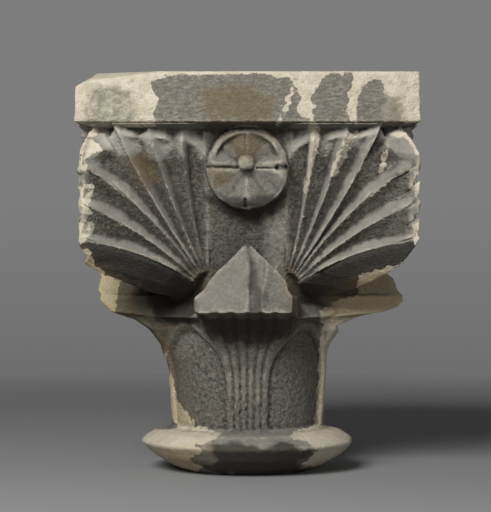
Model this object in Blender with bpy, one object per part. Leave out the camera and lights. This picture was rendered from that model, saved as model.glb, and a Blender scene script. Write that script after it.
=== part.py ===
"""Romanesque column capital, carved from one block of limestone.

Metres, +Z up. The origin is the middle of the underside, where the block sits
on its shaft, and the front face looks along -Y. From the bottom up the block
has an astragal, a round neck with reeds and arched panels, four tongues that
are broken off short, four fan leaves folded over the corners, a rosette in
the middle of each face and a square abacus.

Each face is worked out in its own frame: x to the right, d outward from the
axis and z up. place_on_face turns that frame to the face's side.
"""

import math

import bmesh
import bpy
from mathutils import Matrix, Vector

MM = 0.001
FACES = 4

# Heights above the underside
ASTRAGAL_EDGE_Z = 29.4 * MM
NECK_FOOT_Z = 45.2 * MM
ARCH_SPRING_Z = 104 * MM
ARCH_CROWN_Z = 145 * MM
RIM_Z = 153 * MM
LIP_Z = 159 * MM
EAVE_Z = 174 * MM
ROOF_Z = 226 * MM
SOFFIT_Z = 318 * MM
ABACUS_FOOT_Z = 334.8 * MM
ABACUS_THICK = 46.2 * MM

# Astragal and neck
BED_RADIUS = 62 * MM
NECK_RADIUS = 75.5 * MM
NECK_SWELL = 4.5 * MM
ASTRAGAL_REACH = 29.5 * MM
ASTRAGAL_EDGE_THICK = 2.6 * MM
ASTRAGAL_SIDES = 48
REEDS = 6
REED_PITCH = 8.6 * MM
REED_DEPTH = 3.2 * MM
PANEL_DEPTH = 5 * MM
ARCH_ROLL = 1.2 * MM
RIM_REACH = 17 * MM
NECK_ROOT = 5 * MM

# Broken tongues
TONGUE_HALF = 47 * MM
TONGUE_REACH = 70 * MM
FACE_LEAN = 6 * MM
ROOF_SETBACK = 29 * MM
STEP_X = 15 * MM
STEP_DEPTH = 3.5 * MM

# Bell between the leaves: its depth at the middle of a face and at the fans' first line
BELL_MIDDLE = 105 * MM
BELL_SIDE = 112 * MM
BELL_RISE = 0.2
BELL_HOLLOW = 4.5
FAN_LINE_X = 36 * MM
BELL_FOLD_X = -1.6 * MM
BELL_LAP = 3 * MM

# Abacus
ABACUS_HALF = 158.6 * MM
ABACUS_TAPER = 1.3 * MM
SPLAY_IN = 25 * MM
SPLAY_DROP = 5.5 * MM
SOFFIT_IN = 37 * MM
SOFFIT_ROOT = (12 * MM, 6 * MM)

# Fan leaves. Each crest has a foot, across the face and up, a tip, as its share of the way
# from the fan's first line to the arris and its height, and how far it bows.
LEAF_SETBACK = 2.6 * MM
LEAF_LAP = 10 * MM
LEAF_ROOT = (26 * MM, 178 * MM)
FAN_TOP_X = 40 * MM
CRESTS = (
    ((36 * MM, 196 * MM), (0.0, 317 * MM), 0.0),
    ((39 * MM, 197 * MM), (0.178, 327.7 * MM), -4 * MM),
    ((41.5 * MM, 196 * MM), (0.447, 329 * MM), -3 * MM),
    ((44 * MM, 195 * MM), (0.713, 330 * MM), -3 * MM),
    ((46.5 * MM, 193 * MM), (1.0, 298 * MM), 8 * MM),
    ((49 * MM, 191 * MM), (1.0, 261 * MM), 6.5 * MM),
    ((50.5 * MM, 188 * MM), (1.0, 226 * MM), 7 * MM),
)
# The knob between the third and fourth crests: two tips on its face, then its top on the
# arris, as the way in from the arris and the height, and its foot
KNOB_TIPS = ((0.759, 321 * MM), (0.810, 325 * MM))
KNOB_TOP = (9 * MM, 325 * MM)
KNOB_FOOT_Z = 305 * MM
FAN_FOOT = (42 * MM, 185 * MM)
CHANNEL_DEPTH = 8.5 * MM
CHANNEL_RIM = 7 * MM
KNOB_RIM = 14 * MM
NOTCH_DEPTH = 5 * MM
LEAF_EDGE = 4.5 * MM
EDGE_IN = 0.8 * MM
KEEL_BULGE = 3 * MM
LINE_BURIED = 1.4 * MM
TIP_RETURN = 12 * MM
KEEL_FOOT = (62 * MM, 171 * MM)
KEEL_BELLY = 1.5

# Rosettes
ROSETTE_Z = 293 * MM
ROSETTE_RADIUS = 38.5 * MM
ROSETTE_DEPTH = 142 * MM
ROSETTE_BEVEL = 6.5 * MM
ROSETTE_ROOT = 45 * MM
PETALS = 4
PETAL_DEPTH = 8 * MM
EYE_RADIUS = 8 * MM
EYE_RISE = 5.5 * MM

# Breaks: how deep each corner is gone, and the size of the block that takes it off
CORNER_BREAK = 12 * MM
TONGUE_BREAK = 12 * MM
TIP_BREAK = 9 * MM
BREAK_BLOCK = 60 * MM


def mix(a, b, t):
    return a + (b - a) * t


def ease(t):
    t = min(max(t, 0.0), 1.0)
    return t * t * (3 - 2 * t)


def quarter_turns(point, turns):
    """A point turned about the axis by whole quarters, with no rounding."""
    x, y, z = point
    for _ in range(turns):
        x, y = -y, x
    return Vector((x, y, z))


def place_on_face(point, face):
    """A point (x, d, z) of a face's frame, in the block's own axes."""
    x, d, z = point
    return quarter_turns((x, -d, z), face)


def solid(name, points, faces):
    """A closed mesh object with its faces turned outward."""
    bm = bmesh.new()
    verts = [bm.verts.new(point) for point in points]
    for face in faces:
        bm.faces.new([verts[i] for i in face])
    bmesh.ops.recalc_face_normals(bm, faces=bm.faces)
    mesh = bpy.data.meshes.new(name)
    bm.to_mesh(mesh)
    bm.free()
    made = bpy.data.objects.new(name, mesh)
    bpy.context.collection.objects.link(made)
    return made


def combine(base, other, operation="UNION"):
    """Joins or cuts base by other, and removes other."""
    step = base.modifiers.new(other.name, "BOOLEAN")
    step.operation = operation
    step.solver = "EXACT"
    step.object = other
    bpy.context.view_layer.objects.active = base
    bpy.ops.object.modifier_apply(modifier=step.name)
    bpy.data.objects.remove(other)


def lathe(name, profile, sides):
    """A solid of revolution from a profile of (radius, height), bottom to top."""
    points = [(0, 0, profile[0][1])]
    for radius, height in profile:
        for k in range(sides):
            turn = math.tau * k / sides
            points.append((radius * math.cos(turn), radius * math.sin(turn), height))
    points.append((0, 0, profile[-1][1]))
    last = len(points) - 1
    faces = []
    for k in range(sides):
        n = (k + 1) % sides
        faces.append((0, 1 + n, 1 + k))
        for row in range(len(profile) - 1):
            a = 1 + row * sides
            faces.append((a + k, a + n, a + sides + n, a + sides + k))
        top = 1 + (len(profile) - 1) * sides
        faces.append((top + k, top + n, last))
    return solid(name, points, faces)


def make_astragal():
    """The ring below the neck: a sharp edge between two slopes, the lower one slightly full."""
    edge = NECK_RADIUS + ASTRAGAL_REACH
    profile = [
        (BED_RADIUS, 0.0),
        (mix(BED_RADIUS, edge, 0.38), ASTRAGAL_EDGE_Z * 0.24),
        (mix(BED_RADIUS, edge, 0.74), ASTRAGAL_EDGE_Z * 0.56),
        (edge, ASTRAGAL_EDGE_Z - 0.77 * ASTRAGAL_EDGE_THICK),
        (edge - 0.38 * ASTRAGAL_EDGE_THICK, ASTRAGAL_EDGE_Z + 0.23 * ASTRAGAL_EDGE_THICK),
        (mix(edge, NECK_RADIUS, 0.5), mix(ASTRAGAL_EDGE_Z, NECK_FOOT_Z, 0.42)),
        (NECK_RADIUS - 3.4 * MM, NECK_FOOT_Z + 1 * MM),
    ]
    return lathe("astragal", profile, ASTRAGAL_SIDES)


REED_HALF = REEDS * REED_PITCH / 2
NECK_EIGHTH = NECK_RADIUS * math.pi / 4
TONGUE_FRONT = NECK_RADIUS + NECK_SWELL + TONGUE_REACH


def reed_columns():
    """Stations across one face at the neck's foot, as (arc from the middle, reed relief)."""
    inner = []
    for reed in range(REEDS // 2):
        start = reed * REED_PITCH
        inner.append((start, -REED_DEPTH))
        inner.append((start + 0.3 * REED_PITCH, -0.2 * REED_DEPTH))
        inner.append((start + 0.7 * REED_PITCH, -0.2 * REED_DEPTH))
    inner.append((REED_HALF, -0.5 * REED_DEPTH))
    outer = [(mix(REED_HALF, NECK_EIGHTH, share), 0.0) for share in (0.1, 0.25, 0.43, 0.62, 0.81)]
    right = inner + outer
    left = [(-s, relief) for s, relief in reversed(right[1:])]
    return left + right + [(NECK_EIGHTH, 0.0)]


def neck_radius_at(z):
    return NECK_RADIUS + NECK_SWELL * (z - NECK_FOOT_Z) / (ARCH_SPRING_Z - NECK_FOOT_Z)


def arch_height(s):
    """Top of the arched panel at arc s from the middle of the face; level across the reeds."""
    if abs(s) <= REED_HALF:
        return ARCH_SPRING_Z
    away = (NECK_EIGHTH - abs(s)) / (NECK_EIGHTH - REED_HALF)
    return mix(ARCH_SPRING_Z, ARCH_CROWN_Z, math.sqrt(max(0.0, 1 - away * away)))


def lip_point(s):
    """Where the column that starts at arc s reaches the tongue's lip or the bell's rim."""
    rim = NECK_RADIUS + NECK_SWELL + RIM_REACH
    side = math.copysign(1, s)
    if abs(s) <= REED_HALF:
        return (s / REED_HALF * 0.94 * TONGUE_HALF, TONGUE_FRONT, LIP_Z)
    share = (abs(s) - REED_HALF) / (NECK_EIGHTH - REED_HALF)
    if share < 0.15:
        return (side * TONGUE_HALF, TONGUE_FRONT, LIP_Z + 1 * MM)
    flank_end = math.sqrt(rim * rim - TONGUE_HALF * TONGUE_HALF)
    if share < 0.5:
        along = (share - 0.1) / 0.33
        return (side * TONGUE_HALF, mix(TONGUE_FRONT, flank_end, along), mix(LIP_Z, RIM_Z, along))
    first = math.asin(TONGUE_HALF / rim)
    turn = mix(first, math.pi / 4, (share - 0.43) / 0.57)
    return (side * rim * math.sin(turn), rim * math.cos(turn), RIM_Z)


def neck_column(s, relief):
    """Points of one column, from inside the astragal up to inside the bell."""
    turn = s / NECK_RADIUS
    arch = arch_height(s)
    in_panel = abs(s) > REED_HALF
    column = []

    def on_neck(z, sink):
        radius = neck_radius_at(z) + sink
        return (radius * math.sin(turn), radius * math.cos(turn), z)

    start = NECK_FOOT_Z - NECK_ROOT
    column.append(on_neck(start, -PANEL_DEPTH if in_panel else 0.3 * relief))
    for share in (0.12, 0.55, 0.94, 1.0):
        sink = relief
        if in_panel:
            sink = ARCH_ROLL if share == 1.0 else -PANEL_DEPTH
        column.append(on_neck(mix(start, arch, share), sink))

    foot = on_neck(arch, 0.0)
    x_lip, d_lip, z_lip = lip_point(s)
    for share in (0.24, 0.44, 0.62, 0.8, 1.0):
        lift = share * math.pi / 2
        out = 1 - math.cos(lift)
        sink = relief * (1 - 0.6 * share)
        column.append((
            mix(foot[0], x_lip, out),
            mix(foot[1], d_lip, out) + sink * math.cos(lift),
            mix(foot[2], z_lip, math.sin(lift)) - sink * math.sin(lift),
        ))

    on_tongue = abs(x_lip) <= TONGUE_HALF + 0.1 * MM
    if on_tongue and d_lip > NECK_RADIUS + 0.5 * TONGUE_REACH:
        roof = mix(ROOF_Z, EAVE_Z, abs(x_lip) / TONGUE_HALF)
        front = abs(s) <= REED_HALF * 1.2
        for share in (0.3, 0.65, 1.0):
            z = mix(z_lip, roof, share)
            lean = FACE_LEAN * min((z - LIP_Z) / (EAVE_Z - LIP_Z), 1.0)
            over = max(0.0, (z - EAVE_Z) / (ROOF_Z - EAVE_Z))
            setback = lean + ROOF_SETBACK * over if front else 0.0
            if front and x_lip > STEP_X:
                setback += STEP_DEPTH * (1 - over)
            column.append((x_lip, d_lip - setback, z))
        column.append((x_lip * 0.8, BELL_MIDDLE - 30 * MM, roof - 1 * MM))
    elif on_tongue:
        for z in (mix(RIM_Z, EAVE_Z, 0.3), mix(RIM_Z, EAVE_Z, 0.65), EAVE_Z):
            column.append((x_lip, d_lip, z))
        column.append((x_lip * 0.76, BELL_MIDDLE - 35 * MM, EAVE_Z - 1 * MM))
    else:
        for shrink, rise in ((0.93, 0.33), (0.88, 0.62), (0.84, 0.86), (0.66, 1.05)):
            column.append((x_lip * shrink, d_lip * shrink, mix(z_lip, EAVE_Z, rise)))
    return column


def make_neck_and_tongues():
    """The neck with its reeds and panels, the flaring bell's foot and the four broken tongues."""
    columns = []
    for face in range(FACES):
        for s, relief in reed_columns():
            columns.append([place_on_face(p, face) for p in neck_column(s, relief)])
    rows = len(columns[0])
    around = len(columns)
    points = [point for column in columns for point in column]
    faces = []
    for j in range(around):
        n = (j + 1) % around
        for i in range(rows - 1):
            faces.append((j * rows + i, n * rows + i, n * rows + i + 1, j * rows + i + 1))
    bottom = len(points)
    points += [Vector((0, 0, NECK_FOOT_Z - NECK_ROOT)), Vector((0, 0, EAVE_Z + 10 * MM))]
    for j in range(around):
        n = (j + 1) % around
        faces.append((n * rows, j * rows, bottom))
        faces.append((j * rows + rows - 1, n * rows + rows - 1, bottom + 1))
    return solid("neck", points, faces)


def bell_side(z):
    """Depth of the bell where the fans begin."""
    low = max(0.0, ROOF_Z - z)
    return BELL_SIDE + BELL_RISE * (z - ROOF_Z) - BELL_HOLLOW * low * low


def bell_middle(z):
    """Depth of the bell at the middle of a face."""
    low = max(0.0, ROOF_Z - z)
    high = max(0.0, z - ROOF_Z)
    return BELL_MIDDLE + BELL_RISE * 0.92 * high - BELL_RISE * low


def fan_line_x(z):
    share = (z - CRESTS[0][0][1]) / (CRESTS[0][1][1] - CRESTS[0][0][1])
    return mix(FAN_LINE_X, FAN_TOP_X, share)


def make_bell():
    """The bell's core: each face is a shallow V in plan, deepest in its middle."""
    low, high = RIM_Z - BELL_LAP, ABACUS_FOOT_Z + LEAF_LAP - 2 * MM
    heights = [mix(low, high, share) for share in (0.0, 0.08, 0.17, 0.28, 0.42, 0.62, 0.8, 1.0)]
    rings = []
    for z in heights:
        ring = []
        for face in range(FACES):
            x = fan_line_x(z)
            for point in ((-x, bell_side(z), z), (BELL_FOLD_X, bell_middle(z), z), (x, bell_side(z), z)):
                ring.append(place_on_face(point, face))
        rings.append(ring)
    around = len(rings[0])
    points = [point for ring in rings for point in ring]
    faces = [tuple(range(around)), tuple(range((len(rings) - 1) * around, len(rings) * around))]
    for i in range(len(rings) - 1):
        for j in range(around):
            n = (j + 1) % around
            faces.append((i * around + j, i * around + n, (i + 1) * around + n, (i + 1) * around + j))
    return solid("bell", points, faces)


def make_abacus():
    """The square slab on top, with its splayed underside running back to the bell."""
    top = ABACUS_FOOT_Z + ABACUS_THICK
    soffit = ABACUS_FOOT_Z - SPLAY_DROP
    levels = (
        (bell_middle(SOFFIT_Z) - SOFFIT_ROOT[0], SOFFIT_Z - SOFFIT_ROOT[1]),
        (ABACUS_HALF - SOFFIT_IN, SOFFIT_Z),
        (ABACUS_HALF - SPLAY_IN, soffit),
        (ABACUS_HALF, ABACUS_FOOT_Z),
        (ABACUS_HALF - ABACUS_TAPER, top),
    )
    corners = ((-1, -1), (1, -1), (1, 1), (-1, 1))
    points = [(sx * half, sy * half, z) for half, z in levels for sx, sy in corners]
    last = 4 * (len(levels) - 1)
    faces = [(3, 2, 1, 0), (last, last + 1, last + 2, last + 3)]
    for i in range(len(levels) - 1):
        for j in range(4):
            n = (j + 1) % 4
            faces.append((4 * i + j, 4 * i + n, 4 * i + 4 + n, 4 * i + 4 + j))
    return solid("abacus", points, faces)


ARRIS = ABACUS_HALF - LEAF_SETBACK


def tip_place(tip):
    """A tip across the face and up, from its share of the way to the arris and its height."""
    share, z = tip
    return (ARRIS if share == 1.0 else mix(FAN_TOP_X, ARRIS, share), z)


def leaf_depth(x, z):
    """Depth of the leaf's face before its channels: straight in plan from the bell to the arris."""
    line = fan_line_x(z)
    return mix(bell_side(z), ARRIS, (x - line) / (ARRIS - line))


def fan_lines():
    """The fan's lines from the bell to its lower edge.

    Each line is its foot, its end, its bow, how far it sinks along its
    channel, how far at the rim and at the end, and the rim's length.
    """
    sink = CHANNEL_DEPTH
    lines = []

    def between(k, share, end, middle, at_rim, at_end, rim=CHANNEL_RIM):
        (xa, za), _, bow_a = CRESTS[k - 1]
        (xb, zb), _, bow_b = CRESTS[k]
        foot = (mix(xa, xb, share), mix(za, zb, share))
        lines.append((foot, end, mix(bow_a, bow_b, share), middle, at_rim, at_end, rim))

    def crest(k, at_end, buried=0.0):
        foot, tip, bow = CRESTS[k]
        lines.append((foot, tip_place(tip), bow, buried, buried, at_end, CHANNEL_RIM))

    crest(0, LINE_BURIED, LINE_BURIED)
    for k in (1, 2, 3):
        x0 = tip_place(CRESTS[k - 1][1])[0]
        x1, z1 = tip_place(CRESTS[k][1])
        cusp_x = mix(x0, x1, 0.28)
        if k > 1:
            between(k, 0.32, (cusp_x, z1 - 7 * MM), 0.6 * sink, 0.8 * sink, sink)
        between(k, 0.48, (mix(x0, x1, 0.52), z1 - 3.2 * MM), 0.85 * sink, 0.3 * sink, 0.8 * sink)
        between(k, 0.64, (mix(x0, x1, 0.84), z1 - 0.4 * MM), sink, 0.35 * sink, 0.7 * sink)
        crest(k, 0.5 * sink)
    knob = [tip_place(tip) for tip in KNOB_TIPS]
    knob.append((ARRIS - KNOB_TOP[0], KNOB_TOP[1]))
    knob.append((ARRIS, KNOB_FOOT_Z))
    between(4, 0.26, knob[0], 0.6 * sink, 0.7 * sink, sink, KNOB_RIM)
    between(4, 0.38, knob[1], 0.8 * sink, 0.2 * sink, 0.7 * sink, 1.3 * KNOB_RIM)
    between(4, 0.54, knob[2], sink, 0.2 * sink, 0.7 * sink, 1.5 * KNOB_RIM)
    between(4, 0.74, knob[3], sink, 0.3 * sink, 0.0, 0.5 * KNOB_RIM)
    crest(4, 0.0)
    for k in (5, 6):
        top = CRESTS[k][1][1] + 21 * MM
        foot = CRESTS[k][1][1]
        between(k, 0.3, (ARRIS - NOTCH_DEPTH, top + 1 * MM), 0.6 * sink, 1.5 * sink, 0.0, 2 * CHANNEL_RIM)
        between(k, 0.45, (ARRIS, top), 0.85 * sink, 0.35 * sink, 0.0, 2 * CHANNEL_RIM)
        between(k, 0.66, (ARRIS - 0.3 * NOTCH_DEPTH, foot + 6 * MM), sink, 0.7 * sink, 0.0)
        crest(k, 0.0)
    return lines


def fan_line_points(line):
    """Points of one line in the face's frame, from a point sunk in the bell out to its end."""
    (x0, z0), (x1, z1), bow, middle, at_rim, at_end, rim = line
    length = math.hypot(x1 - x0, z1 - z0)
    across = ((z0 - z1) / length, (x1 - x0) / length)
    rim_share = 1 - rim / length
    rows = []
    foot_x, foot_z = FAN_FOOT
    sunk_x, sunk_z = mix(foot_x, x0, 0.55), mix(foot_z, z0, 0.55)
    rows.append((sunk_x, bell_side(sunk_z) - 12 * MM, sunk_z))
    for share in (0.0, 0.22, 0.45, 0.7, 0.93, 1.0):
        t = share * rim_share
        swing = bow * 4 * t * (1 - t)
        x = mix(x0, x1, t) + across[0] * swing
        z = mix(z0, z1, t) + across[1] * swing
        grow = mix(0.35, 1.0, ease(share / 0.6))
        sink = middle * grow if share < 1.0 else at_rim
        rows.append((x, leaf_depth(x, z) - sink, z))
    on_arris = x1 > ARRIS - 2 * NOTCH_DEPTH
    rows.append((x1, x1 if on_arris else leaf_depth(x1, z1) - at_end, z1))
    return rows


def keel_point(share):
    """A point of the leaf's keel on the diagonal, from the bell out to the foot of the arris."""
    top = CRESTS[6][1][1] - LEAF_EDGE
    foot_r, foot_z = KEEL_FOOT
    radius = mix(foot_r, ARRIS - EDGE_IN, share)
    fall = (1 - share ** KEEL_BELLY) ** (1 / KEEL_BELLY)
    return (radius, radius, mix(top, foot_z, fall))


def make_leaf(corner):
    """One corner leaf, two fans that share the arris. The first is on the right of the front."""
    lines = [fan_line_points(line) for line in fan_lines()]
    rows = len(lines[0])
    edge = lines[-1]

    band = [edge[0]]
    for i in range(1, rows):
        x, d, z = edge[i]
        band.append((x - 0.75 * EDGE_IN, d - EDGE_IN, z - LEAF_EDGE * ease(i / 3)))
    band[-1] = (edge[-1][0] - EDGE_IN, edge[-1][0] - EDGE_IN, edge[-1][2] - LEAF_EDGE)
    keel = [(50 * MM, 50 * MM, KEEL_FOOT[1] - 2 * MM)]
    for i in range(1, rows):
        keel.append(keel_point(((i - 1) / (rows - 2)) ** 0.8))
    half_way = []
    for i in range(rows):
        low, high = Vector(keel[i]), Vector(band[i])
        bulge = Vector((0, 0, -KEEL_BULGE * math.sin(math.pi * i / (rows - 1))))
        half_way.append(tuple((low + high) / 2 + bulge))
    lines += [band, half_way]

    points = []
    index = {}

    def vertex(point):
        key = tuple(round(c / MM, 3) for c in point)
        if key not in index:
            index[key] = len(points)
            points.append(place_on_face(point, corner))
        return index[key]

    def swap(point):
        return (point[1], point[0], point[2])

    front = [[vertex(p) for p in line] for line in lines]
    side = [[vertex(swap(p)) for p in line] for line in lines]
    middle = [vertex(p) for p in keel]
    sheet = front + [middle] + side[::-1]
    faces = []
    for a, b in zip(sheet, sheet[1:]):
        for i in range(rows - 1):
            ring = []
            for v in (a[i], b[i], b[i + 1], a[i + 1]):
                if v not in ring:
                    ring.append(v)
            if len(ring) > 2:
                faces.append(tuple(ring))

    roof_z = ABACUS_FOOT_Z + LEAF_LAP
    ends = [line[-1] for line in lines if line[-1][0] < ARRIS - 2 * NOTCH_DEPTH]
    shared = next(line[-1] for line in lines if line[-1][0] == line[-1][1])

    def set_back(point):
        x, d, z = point
        third = tip_place(CRESTS[3][1])[0]
        near = ease((x - third) / (ABACUS_HALF - third))
        back = TIP_RETURN * (1 - 0.75 * near)
        if abs(x - d) < 0.1 * MM:
            return (x - back, d - back, z + 6 * MM)
        return (x - 0.45 * back, d - 0.9 * back, z + 1 * MM)

    top_line = ends + [shared]
    returns = [vertex(set_back(p)) for p in top_line]
    returns += [vertex(swap(set_back(p))) for p in ends[::-1]]
    roofs = [vertex((*set_back(p)[:2], roof_z)) for p in top_line]
    roofs += [vertex(swap((*set_back(p)[:2], roof_z))) for p in ends[::-1]]
    tips = [vertex(p) for p in top_line] + [vertex(swap(p)) for p in ends[::-1]]
    for row_a, row_b in ((tips, returns), (returns, roofs)):
        for i in range(len(row_a) - 1):
            faces.append((row_a[i], row_a[i + 1], row_b[i + 1], row_b[i]))

    root, root_z = LEAF_ROOT
    post_low = vertex((root, root, root_z))
    post_top = vertex((root, root, roof_z))
    for i in range(len(roofs) - 1):
        faces.append((roofs[i], roofs[i + 1], post_top))
    for wall, back, roof in ((front[0], returns[0], roofs[0]), (side[0], returns[-1], roofs[-1])):
        rail = wall + [back, roof, post_top]
        for a, b in zip(rail, rail[1:]):
            faces.append((a, b, post_low))
    feet = [line[0] for line in sheet]
    for a, b in zip(feet, feet[1:]):
        if a != b:
            faces.append((a, b, post_low))
    return solid(f"leaf_{corner}", points, faces)


def make_rosette(face):
    """A disc with a bevelled rim. The first face's has four petals, folded down along their middles."""
    spokes = 4 * PETALS
    sunk = PETAL_DEPTH if face == 0 else 0.0
    dish = 0.0 if face == 0 else 0.3 * PETAL_DEPTH
    field = ROSETTE_RADIUS - ROSETTE_BEVEL
    levels = (
        (ROSETTE_RADIUS, -ROSETTE_ROOT, 0.0),
        (ROSETTE_RADIUS, -ROSETTE_BEVEL, 0.0),
        (field, 0.0, 0.3),
        (field - 2 * MM, -dish, 1.0),
        (EYE_RADIUS * 1.2, -dish, 0.3),
        (EYE_RADIUS, 0.36 * EYE_RISE, 0.0),
        (EYE_RADIUS * 0.5, 0.82 * EYE_RISE, 0.0),
    )
    points = []
    for radius, lift, folded in levels:
        for k in range(spokes):
            turn = math.tau * k / spokes
            quarter = (k * PETALS / spokes) % 1.0
            fold = 1 - abs(2 * quarter - 1)
            depth = ROSETTE_DEPTH + lift - sunk * folded * fold
            points.append((radius * math.cos(turn), depth, ROSETTE_Z + radius * math.sin(turn)))
    back = len(points)
    points.append((0, ROSETTE_DEPTH - ROSETTE_ROOT, ROSETTE_Z))
    points.append((0, ROSETTE_DEPTH + EYE_RISE, ROSETTE_Z))
    faces = []
    last = (len(levels) - 1) * spokes
    for k in range(spokes):
        n = (k + 1) % spokes
        faces.append((k, n, back))
        faces.append((last + k, last + n, back + 1))
        for ring in range(len(levels) - 1):
            a = ring * spokes
            faces.append((a + k, a + n, a + spokes + n, a + spokes + k))
    return solid(f"rosette_{face}", [place_on_face(p, face) for p in points], faces)


def break_off(block, name, corner, away, depth):
    """Breaks a corner off to the given depth, square to the direction away from the block."""
    half = BREAK_BLOCK
    away = Vector(away).normalized()
    centre = Vector(corner) + away * (half - depth)
    turned = Matrix.Translation(centre) @ away.to_track_quat("Z", "Y").to_matrix().to_4x4()
    points = [(sx * half, sy * half, sz * half) for sx in (-1, 1) for sy in (-1, 1) for sz in (-1, 1)]
    faces = [(0, 1, 3, 2), (4, 6, 7, 5), (0, 4, 5, 1), (2, 3, 7, 6), (0, 2, 6, 4), (1, 5, 7, 3)]
    cutter = solid(name, [turned @ Vector(p) for p in points], faces)
    cutter.hide_render = True
    cutter.display_type = "WIRE"
    combine(block, cutter, "DIFFERENCE")


def limestone():
    stone = bpy.data.materials.new("limestone")
    stone.use_nodes = True
    shader = stone.node_tree.nodes["Principled BSDF"]
    shader.inputs["Base Color"].default_value = (0.19, 0.17, 0.145, 1)
    shader.inputs["Roughness"].default_value = 0.9
    shader.inputs["Metallic"].default_value = 0.0
    return stone


for item in list(bpy.data.objects):
    bpy.data.objects.remove(item)

capital = make_neck_and_tongues()
capital.name = "capital"
combine(capital, make_astragal())
combine(capital, make_bell())
for corner in range(FACES):
    combine(capital, make_leaf(corner))
combine(capital, make_abacus())
for face in range(FACES):
    combine(capital, make_rosette(face))
top = ABACUS_FOOT_Z + ABACUS_THICK
break_off(capital, "corner_cutter", (-ABACUS_HALF, -ABACUS_HALF, top), (-0.54, -0.35, 0.84), CORNER_BREAK)
break_off(capital, "left_cutter", (-TONGUE_FRONT, 0, LIP_Z), (-0.66, 0, -0.75), TONGUE_BREAK)
break_off(capital, "right_cutter", (TONGUE_FRONT, 0, LIP_Z), (0.39, 0, -0.92), TIP_BREAK)
capital.data.materials.clear()
capital.data.materials.append(limestone())
capital.data.set_sharp_from_angle(angle=math.radians(28))
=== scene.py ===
"""A Romanesque column capital of worn limestone, on a plain floor in soft studio light.

The block's form comes from the frame. Its skin is worked here: the tool marks, the wear,
the breaks, and the patina that still lies over the cream stone.
"""

import math

import bmesh
import bpy
import numpy as np
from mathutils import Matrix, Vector


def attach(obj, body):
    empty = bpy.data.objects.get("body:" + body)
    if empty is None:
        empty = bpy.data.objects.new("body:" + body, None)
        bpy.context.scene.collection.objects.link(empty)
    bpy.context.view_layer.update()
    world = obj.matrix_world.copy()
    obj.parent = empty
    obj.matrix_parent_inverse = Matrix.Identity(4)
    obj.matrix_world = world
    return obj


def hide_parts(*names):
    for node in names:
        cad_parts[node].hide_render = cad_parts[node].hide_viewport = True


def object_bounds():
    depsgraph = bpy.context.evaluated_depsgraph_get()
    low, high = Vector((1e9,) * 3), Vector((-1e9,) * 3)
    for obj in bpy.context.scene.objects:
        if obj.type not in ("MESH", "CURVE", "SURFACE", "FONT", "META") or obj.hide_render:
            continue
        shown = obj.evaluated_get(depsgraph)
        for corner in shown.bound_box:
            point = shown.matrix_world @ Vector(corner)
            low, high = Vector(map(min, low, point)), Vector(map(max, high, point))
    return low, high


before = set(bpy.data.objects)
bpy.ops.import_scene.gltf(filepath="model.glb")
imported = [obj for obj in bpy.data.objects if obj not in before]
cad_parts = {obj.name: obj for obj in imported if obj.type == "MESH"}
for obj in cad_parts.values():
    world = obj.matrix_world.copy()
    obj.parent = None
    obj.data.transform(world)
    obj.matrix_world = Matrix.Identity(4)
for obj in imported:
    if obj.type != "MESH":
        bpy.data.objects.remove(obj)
cad_box = [list(corner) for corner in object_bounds()]

# The block. One piece of limestone, cut with point and tooth chisel. The frame gives its
# planes; an even skin of small faces over them takes the carver's marks and the wear.
MM = 0.001
SKIN = 1.1 * MM
SKIN_FACES = 196000


def evaluated(piece):
    """The piece's mesh with its modifiers applied, as a new mesh."""
    bpy.context.view_layer.update()
    graph = bpy.context.evaluated_depsgraph_get()
    return bpy.data.meshes.new_from_object(piece.evaluated_get(graph))


def settle(piece):
    """Puts the modifiers' result in the piece's mesh and takes the modifiers off."""
    piece.data = evaluated(piece)
    piece.modifiers.clear()


def read(mesh, what="vertices"):
    """Points or normals of a mesh's vertices, in millimetres or as unit vectors."""
    values = np.empty(len(mesh.vertices) * 3, np.float32)
    if what == "vertices":
        mesh.vertices.foreach_get("co", values)
        values /= MM
    else:
        mesh.vertex_normals.foreach_get("vector", values)
    return values.reshape(-1, 3).astype(float)


def write_points(mesh, points):
    """Puts points, given in millimetres, in a mesh's vertices."""
    mesh.vertices.foreach_set("co", (points * MM).astype(np.float32).ravel())
    mesh.update()


def store(mesh, name, values):
    """Keeps one number or one vector for each vertex under a name."""
    kind, key = ("FLOAT", "value") if values.ndim == 1 else ("FLOAT_VECTOR", "vector")
    layer = mesh.attributes.get(name) or mesh.attributes.new(name, kind, "POINT")
    layer.data.foreach_set(key, values.astype(np.float32).ravel())


loose = bmesh.new()
loose.from_mesh(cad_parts["capital"].data)
bmesh.ops.remove_doubles(loose, verts=loose.verts, dist=0.01 * MM)
skin = bpy.data.meshes.new("capital_stone")
loose.to_mesh(skin)
loose.free()
stone = bpy.data.objects.new("capital_stone", skin)
bpy.context.scene.collection.objects.link(stone)
even = stone.modifiers.new("even skin", "REMESH")
even.mode = "VOXEL"
even.voxel_size = SKIN
soft = stone.modifiers.new("worn edges", "SMOOTH")
soft.factor = 0.5
soft.iterations = 2
settle(stone)

# The carver's forms on that skin. Every face of the block is worked in its own frame, in
# millimetres: u to the right, d outward and z up, so that one set of forms serves all four.
# A crest of a fan is its foot, its tip and its bow, as the block's own planes have them.
ARRIS = 156.0
CRESTS = (
    ((36, 196), (40, 317), 0),
    ((39, 197), (60.6, 327.7), -4),
    ((41.5, 196), (91.9, 329), -3),
    ((44, 195), (122.7, 330), -3),
    ((46.5, 193), (ARRIS, 298), 8),
    ((49, 191), (ARRIS, 261), 6.5),
    ((50.5, 188), (ARRIS, 226), 7),
)
FAN_FOCUS = (44.0, 185.5)
VALLEYS = (0, 0.8, 0.72, 0.6, 0.5, 0.52, 0.47)
STRIPS = (9, 5, 7, 9, 11, 12, 9.5)
ROSETTE_Z = 293.0


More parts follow.
